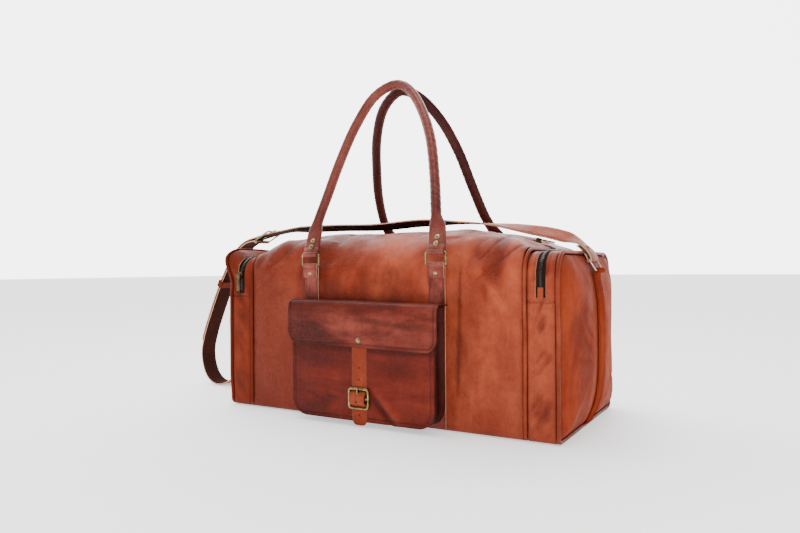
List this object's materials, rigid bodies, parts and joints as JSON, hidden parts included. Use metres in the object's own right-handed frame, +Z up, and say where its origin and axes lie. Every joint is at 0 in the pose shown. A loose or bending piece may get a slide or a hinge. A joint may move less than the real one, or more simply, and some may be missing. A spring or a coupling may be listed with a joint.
{
  "type": "duffel bag",
  "caption": "Square leather duffel bag with a top zip, end pockets, a front flap pocket, grab handles on rings and a buckled shoulder strap.",
  "frame": {"origin": "the bag's flat underside, midway between its ends and between its front and rear faces", "axes": "+X along the bag to its right end, -Y to the front with the pocket, +Z up"},
  "size_m": [0.8489, 0.3527, 0.5828],
  "materials": {
    "tan_leather": "smooth pull-up leather, tan brown, uneven in tone",
    "dark_leather": "smooth pull-up leather, dark red-brown",
    "handle_leather": "rolled leather, dark red-brown",
    "strap_leather": "thick strap leather, tan, light raw edges",
    "brass": "antique brass",
    "nickel": "worn nickel plate",
    "zip_cloth": "black-brown zip tape",
    "zip_teeth": "black coil teeth",
    "canvas": "plain cotton canvas",
    "board": "stiff grey-brown board"
  },
  "bodies": {
    "bag": {"body_wrap": "tan_leather", "gusset_left": "tan_leather", "gusset_right": "tan_leather", "end_panel_left": "tan_leather", "end_panel_right": "tan_leather", "piping_inner_left": "tan_leather", "piping_inner_right": "tan_leather", "piping_outer_left": "tan_leather", "piping_outer_right": "tan_leather", "end_strip_left": "strap_leather", "end_strip_right": "strap_leather", "buckle_chape": "strap_leather", "strap_long": "strap_leather", "strap_short": "strap_leather", "strap_keeper": "strap_leather", "pocket_front": "dark_leather", "pocket_gusset": "dark_leather", "band_front_left": "dark_leather", "band_front_right": "dark_leather", "band_rear_left": "dark_leather", "band_rear_right": "dark_leather", "band_rivet_front_left": "brass", "band_rivet_front_right": "brass", "band_rivet_rear_left": "brass", "band_rivet_rear_right": "brass", "pocket_buckle": "brass", "strap_buckle": "brass", "strap_rivet_right": "brass", "main_zip_tape": "zip_cloth", "end_zip_tape_left": "zip_cloth", "end_zip_tape_right": "zip_cloth", "main_zip_teeth": "zip_teeth", "end_zip_teeth_left": "zip_teeth", "end_zip_teeth_right": "zip_teeth", "lining": "canvas", "divider_left": "canvas", "divider_right": "canvas", "base_board": "board"},
    "front_rings": {"ring_front_left": "brass", "ring_front_right": "brass"},
    "front_handle": {"handle_front": "handle_leather"},
    "rear_rings": {"ring_rear_left": "brass", "ring_rear_right": "brass"},
    "rear_handle": {"handle_rear": "handle_leather"},
    "flap": {"pocket_flap": "dark_leather", "flap_rivet": "brass", "pocket_strap": "strap_leather"},
    "pocket_prong": {"pocket_buckle_prong": "brass"},
    "main_slider": {"main_zip_slider": "brass"},
    "main_puller": {"main_zip_puller": "brass"},
    "left_slider": {"end_left_slider": "brass"},
    "left_puller": {"end_left_puller": "brass"},
    "right_slider": {"end_right_slider": "brass"},
    "right_puller": {"end_right_puller": "brass"},
    "strap_buckle_prong": {"strap_prong": "brass"},
    "right_strap_ring": {"strap_ring_right": "nickel"},
    "left_strap_ring": {"strap_ring_left": "nickel"}
  },
  "joints": [
    {"name": "front_ring_swing", "type": "hinge", "parent": "bag", "child": "front_rings", "pos_m": [0, -0.1524, 0.25], "axis": [1, 0, 0], "range_deg": [0, 40]},
    {"name": "front_handle_swing", "type": "hinge", "parent": "front_rings", "child": "front_handle", "pos_m": [0, -0.1524, 0.269], "axis": [1, 0, 0], "range_deg": [0, 90]},
    {"name": "rear_ring_swing", "type": "hinge", "parent": "bag", "child": "rear_rings", "pos_m": [0, 0.1524, 0.25], "axis": [-1, 0, 0], "range_deg": [0, 40]},
    {"name": "rear_handle_swing", "type": "hinge", "parent": "rear_rings", "child": "rear_handle", "pos_m": [0, 0.1524, 0.269], "axis": [-1, 0, 0], "range_deg": [0, 115]},
    {"name": "flap_open", "type": "hinge", "parent": "bag", "child": "flap", "pos_m": [0, -0.1523, 0.1935], "axis": [-1, 0, 0], "range_deg": [0, 85], "deforming": ["pocket_strap"]},
    {"name": "pocket_prong_lift", "type": "hinge", "parent": "bag", "child": "pocket_prong", "pos_m": [0, -0.1872, 0.044], "axis": [1, 0, 0], "range_deg": [0, 80]},
    {"name": "main_zip_travel", "type": "hinge", "parent": "bag", "child": "main_slider", "pos_m": [0, 0, -0.6971], "axis": [0, -1, 0], "range_deg": [0, 25.9]},
    {"name": "main_puller_lift", "type": "hinge", "parent": "main_slider", "child": "main_puller", "pos_m": [0.22691, 0, 0.29083], "axis": [0, -1, 0], "range_deg": [0, 15]},
    {"name": "left_zip_travel", "type": "hinge", "parent": "bag", "child": "left_slider", "pos_m": [-0.2783, -0.114, 0.234], "axis": [-1, 0, 0], "range_deg": [0, 90]},
    {"name": "left_puller_lift", "type": "hinge", "parent": "left_slider", "child": "left_puller", "pos_m": [-0.2783, -0.15655, 0.234], "axis": [-1, 0, 0], "range_deg": [0, 150]},
    {"name": "right_zip_travel", "type": "hinge", "parent": "bag", "child": "right_slider", "pos_m": [0.2783, 0.114, 0.234], "axis": [1, 0, 0], "range_deg": [0, 90]},
    {"name": "right_puller_lift", "type": "hinge", "parent": "right_slider", "child": "right_puller", "pos_m": [0.2783, 0.15655, 0.234], "axis": [1, 0, 0], "range_deg": [0, 150]},
    {"name": "strap_prong_lift", "type": "hinge", "parent": "bag", "child": "strap_buckle_prong", "pos_m": [-0.363, 0, 0.303], "axis": [0, -1, 0], "range_deg": [0, 80]},
    {"name": "right_strap_ring_swing", "type": "hinge", "parent": "bag", "child": "right_strap_ring", "pos_m": [0.32299, 0, 0.24], "axis": [0, 1, 0], "range_deg": [0, 15], "deforming": ["strap_long"]},
    {"name": "left_strap_ring_swing", "type": "hinge", "parent": "bag", "child": "left_strap_ring", "pos_m": [-0.32299, 0, 0.24], "axis": [0, 1, 0], "range_deg": [0, 15], "deforming": ["strap_short"]}
  ]
}
